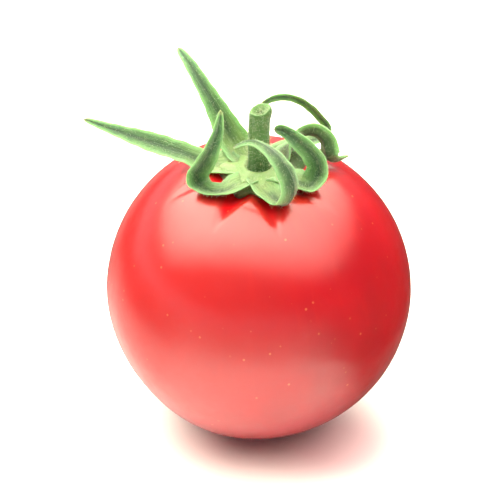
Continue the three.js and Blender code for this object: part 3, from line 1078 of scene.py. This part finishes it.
def scatter(triangles, weights, per_square_mm, rng):
    """Random places on the triangles, so many to the square millimetre, and the ways they face."""
    a, b, c = (triangles[:, corner] for corner in range(3))
    cross = np.cross(b - a, c - a)
    areas = np.linalg.norm(cross, axis=1) / 2 * weights
    count = int(areas.sum() * per_square_mm)
    chosen = rng.choice(len(areas), count, p=areas / areas.sum())
    u, v = rng.random(count), rng.random(count)
    over = u + v > 1
    u[over], v[over] = 1 - u[over], 1 - v[over]
    places = a[chosen] + (b - a)[chosen] * u[:, None] + (c - a)[chosen] * v[:, None]
    return places, cross[chosen] / np.linalg.norm(cross[chosen], axis=1)[:, None]


def hair_points(roots, normals, shortest, longest, rng):
    """Three rings of three points for each hair, which leans and bends its own way."""
    count = len(roots)
    ways = normals + rng.normal(0, HAIR_LEAN, (count, 3))
    ways /= np.linalg.norm(ways, axis=1)[:, None]
    bends = rng.normal(0, HAIR_BEND, (count, 3))
    lengths = shortest + (longest - shortest) * rng.random(count) ** 2
    first = np.cross(ways, HAIR_SKEW)
    first /= np.linalg.norm(first, axis=1)[:, None]
    second = np.cross(ways, first)
    rows = []
    for share, radius in HAIR_RINGS:
        middle = roots + (ways * share + bends * share**2) * lengths[:, None]
        for turn in range(3):
            angle = 2 * math.pi * turn / 3
            rows.append(middle + radius * (math.cos(angle) * first + math.sin(angle) * second))
    return np.stack(rows, 1).reshape(-1, 3)


def hair_faces(count):
    """For each hair six quads round it and a triangle at each end."""
    faces = []
    for start in range(0, 9 * count, 9):
        for level in (0, 3):
            for turn in range(3):
                low, next_low = start + level + turn, start + level + (turn + 1) % 3
                faces.append((low, next_low, next_low + 3, low + 3))
        faces.append((start + 2, start + 1, start))
        faces.append((start + 6, start + 7, start + 8))
    return faces


def hair_mesh(name, piece, per_square_mm, lengths, seed, keep=None):
    """Fine tapered hairs all over a piece, rooted in it and leaning each its own way."""
    rng = np.random.default_rng(seed)
    triangles = triangles_of(piece)
    weights = 1.0 if keep is None else keep(triangles)
    roots, normals = scatter(triangles, weights, per_square_mm, rng)
    points = hair_points(roots, normals, *lengths, rng)
    along = np.tile(np.repeat([0.0, 0.5, 1.0], 3), len(roots))
    return mesh_object(name, points, hair_faces(len(roots)), {"along": along})


# ---- Camera ----

ELEVATION = math.radians(35)
VIEW_RIGHT = Vector((1, 0, 0))
VIEW_UP = Vector((0, math.sin(ELEVATION), math.cos(ELEVATION)))
VIEW_BACK = Vector((0, -math.cos(ELEVATION), math.sin(ELEVATION)))
SENSOR_WIDTH = 36.0
FRAME_WIDTH = 46.0
CAMERA_DISTANCE = 550.0
FRAME_OFFSET = (-0.7, 3.4)


def make_camera():
    """Looks down at 35 degrees from afar, as the photograph does."""
    data = bpy.data.cameras.new("camera")
    data.sensor_width = SENSOR_WIDTH
    data.lens = SENSOR_WIDTH * CAMERA_DISTANCE / FRAME_WIDTH
    data.clip_start, data.clip_end = 0.01, 100.0
    camera = bpy.data.objects.new("camera", data)
    bpy.context.scene.collection.objects.link(camera)
    target = Vector(CENTRE) + VIEW_RIGHT * FRAME_OFFSET[0] + VIEW_UP * FRAME_OFFSET[1]
    camera.location = (target + VIEW_BACK * CAMERA_DISTANCE) * MM
    camera.rotation_mode = "QUATERNION"
    camera.rotation_quaternion = (-VIEW_BACK).to_track_quat("-Z", "Y")
    bpy.context.scene.camera = camera


# ---- Studio ----

FLOOR_SIZE = 40000.0
FLOOR_WHITES = [(0.92, 0.92, 0.92, 1.0), (0.94, 0.94, 0.94, 1.0)]
# Painted shadow on the floor round the fruit: a pink glow round where it stands, painted as red light
# coming down through the fruit, and a darker red patch to its right painted as shadow: [middle, radius
# of the full tint, radius of its end, share, colour].
PAINTED_FLOOR_SHADOWS = [
    [(1.0, -4.0, 0.0), 5, 11, 0.6, (1.0, 0.8, 0.84, 1.0)],
    [(7.6, -6.0, 0.0), 2, 9, 0.75, (0.7, 0.4, 0.46, 1.0)],
]

# The overhead softbox, in metres: from where to where its light falls off at each edge.
SOFTBOX_LEFT, SOFTBOX_RIGHT = (-2.9, -0.3), (2.5, -0.6)
SOFTBOX_FRONT, SOFTBOX_BACK = (-1.05, -0.05), (2.4, 1.6)
SOFTBOX_SLANT = 0.2
SOFTBOX_HEIGHT = 0.9
SOFTBOX_RADIANCE = 7.9
SOFTBOX_COLOUR = (1.0, 0.95, 0.79, 1.0)

# Dark cards that stand beside the fruit: [name, x, height].
CARDS = [["right_card", 24.0, 33.0], ["left_card", -60.0, 25.0]]
CARD_FRONT, CARD_BACK = -45, 160
CARD_FADE = 35
CARD_FADE_START = 0.6
CARD_COLOUR = (0.02, 0.01, 0.01, 1.0)

# The dark sheet over the floor: its clear spot, and where it turns dense outwards from there.
SHADE_SIZE = 2000.0
SHADE_LEVEL = 0.2
SHADE_CLEAR_SPOT = (-4.0, -16.0, 0.0)
SHADE_NEAR, SHADE_FAR, SHADE_FAR_CLEARNESS = 8, 60, 0.35
SHADE_SLANT = 0.75
# Its slanting borders to the right and to the left: [sense of the slant, half width, clearness past].
SHADE_BORDERS = [["ADD", 8, 0.05], ["SUBTRACT", 12, 0.5]]
SHADE_COLOUR = (0.03, 0.01, 0.01, 1.0)

# The room's brightness by height and by side: from and to which way, and how bright at both.
ROOM_BY_HEIGHT = (0.08, 0.32, 0.75, 0.12)
ROOM_BY_SIDE = (0.0, 0.95, 1.15, 0.25)
ROOM_COLOUR = (0.95, 0.97, 1.0, 1.0)


def level_square(size, height):
    """Corners of a square that reaches so far to each side."""
    return [(-size, -size, height), (size, -size, height), (size, size, height), (-size, size, height)]


def one_face(name, corners):
    return mesh_object(name, corners, [(0, 1, 2, 3)], {})


def floor_material():
    """Matt white board with the faintest tooth, painted with a pink glow where light comes down through
    the fruit and with a painted shadow to its right.
    """
    material, tree = new_material("white_board")
    place = object_place(tree)
    colour = mix(tree, cloud(tree, place, 900, 2.0), *FLOOR_WHITES)
    # Painted shadow and painted red light: both tints are painted onto the board round the fruit.
    for spot, near, far, strength, shadow_tint in PAINTED_FLOOR_SHADOWS:
        share = remap(tree, distance(tree, place, spot), near * MM, far * MM, strength, 0.0)
        colour = mix(tree, share, colour, shadow_tint)
    add_surface(tree, {"Base Color": colour, "Roughness": 0.55})
    return material


def make_floor():
    """A white floor out to the horizon."""
    floor = one_face("floor", level_square(FLOOR_SIZE, 0))
    floor.data.materials.append(floor_material())


def softbox_material():
    """A glowing cloth, brightest in its middle and falling off softly to its edges."""
    material, tree = new_material("softbox_cloth")
    axes = axes_of(tree, object_place(tree))
    slanted = math_node(tree, "ADD", axes[1], times(tree, axes[0], SOFTBOX_SLANT))
    edges = [
        (axes[0], SOFTBOX_LEFT),
        (axes[0], SOFTBOX_RIGHT),
        (slanted, SOFTBOX_FRONT),
        (axes[1], SOFTBOX_BACK),
    ]
    glow = SOFTBOX_RADIANCE
    for axis, (dark, bright) in edges:
        glow = times(tree, remap(tree, axis, dark, bright), glow)
    add_surface(tree, {
        "Emission Strength": glow,
        "Emission Color": SOFTBOX_COLOUR,
        "Base Color": (0.0, 0.0, 0.0, 1.0),
    })
    material.cycles.emission_sampling = "NONE"
    return material


def overhead_softbox():
    """A broad sheet of light above the fruit, seen only by its light and in its gloss."""
    left, right, front, back = SOFTBOX_LEFT[0], SOFTBOX_RIGHT[0], SOFTBOX_FRONT[0], SOFTBOX_BACK[0]
    corners = np.array([(left, front, 0), (left, back, 0), (right, back, 0), (right, front, 0)])
    cloth = one_face("softbox", corners / MM)
    cloth.location = (0, 0, SOFTBOX_HEIGHT)
    cloth.data.materials.append(softbox_material())
    cloth.visible_camera = False


def gloss_only(piece, material):
    """Sets a dark piece where only the fruit's gloss sees it."""
    piece.data.materials.append(material)
    piece.visible_camera = piece.visible_diffuse = piece.visible_shadow = False


def reflection_card(name, x, height):
    """A dark card beside the fruit, fading to its top and front: it gives the fruit's side an edge."""
    corners = [
        (x, CARD_FRONT, 0),
        (x, CARD_BACK, 0),
        (x, CARD_BACK, height),
        (x, CARD_FRONT, height),
    ]
    card = one_face(name, corners)
    material, tree = new_material(name)
    axes = axes_of(tree, object_place(tree))
    from_front = remap(tree, axes[1], CARD_FRONT * MM, (CARD_FRONT + CARD_FADE) * MM)
    from_top = remap(tree, axes[2], CARD_FADE_START * height * MM, height * MM, 1.0, 0.0)
    add_surface(tree, {
        "Alpha": times(tree, from_front, from_top),
        "Base Color": CARD_COLOUR,
        "Roughness": 0.9,
    })
    gloss_only(card, material)


def floor_shade():
    """A dark sheet over the floor: clear in front of the fruit, denser further off and to its sides."""
    sheet = one_face("floor_shade", level_square(SHADE_SIZE, SHADE_LEVEL))
    material, tree = new_material("floor_shade")
    place = object_place(tree)
    axes = axes_of(tree, place)
    slant = times(tree, axes[0], SHADE_SLANT)
    away = distance(tree, place, SHADE_CLEAR_SPOT)
    clear = remap(tree, away, SHADE_NEAR * MM, SHADE_FAR * MM, 1.0, SHADE_FAR_CLEARNESS)
    for sense, border, clearness in SHADE_BORDERS:
        slanted = math_node(tree, sense, axes[1], slant)
        clear = times(tree, clear, remap(tree, slanted, -border * MM, border * MM, 1.0, clearness))
    add_surface(tree, {
        "Alpha": math_node(tree, "SUBTRACT", 1.0, clear),
        "Base Color": SHADE_COLOUR,
    })
    gloss_only(sheet, material)


def make_room():
    """Dim room light, brighter low down and to the left."""
    world = bpy.data.worlds.new("room")
    world.use_nodes = True
    tree = world.node_tree
    axes = axes_of(tree, add(tree, "ShaderNodeTexCoord", {}).outputs["Generated"])
    by_height = remap(tree, axes[2], *ROOM_BY_HEIGHT)
    by_side = remap(tree, axes[0], *ROOM_BY_SIDE)
    background = tree.nodes["Background"]
    background.inputs["Color"].default_value = ROOM_COLOUR
    tree.links.new(times(tree, by_height, by_side), background.inputs["Strength"])
    bpy.context.scene.world = world


def make_studio():
    """A white floor under a broad overhead softbox, in dim room light."""
    make_floor()
    overhead_softbox()
    for name, x, height in CARDS:
        reflection_card(name, x, height)
    floor_shade()
    make_room()
    bpy.context.scene.view_settings.view_transform = "Standard"


# ---- The whole ----

make_camera()
fruit = fruit_piece()
fit_to_frame(fruit, skin_material(), "tomato_skin", "fruit")
calyx = calyx_piece()
fit_to_frame(calyx, leaf_material(), "sepal_green", "calyx")
pedicel = stalk_piece()
fit_to_frame(pedicel, stalk_material(), "stalk_green", "pedicel")
hair = hair_material()
calyx_hairs = hair_mesh("calyx_hairs", calyx, *CALYX_HAIRS, off_fruit_only)
fit_to_frame(calyx_hairs, hair, "sepal_green")
pedicel_hairs = hair_mesh("pedicel_hairs", pedicel, *STALK_HAIRS)
fit_to_frame(pedicel_hairs, hair, "stalk_green")
make_studio()
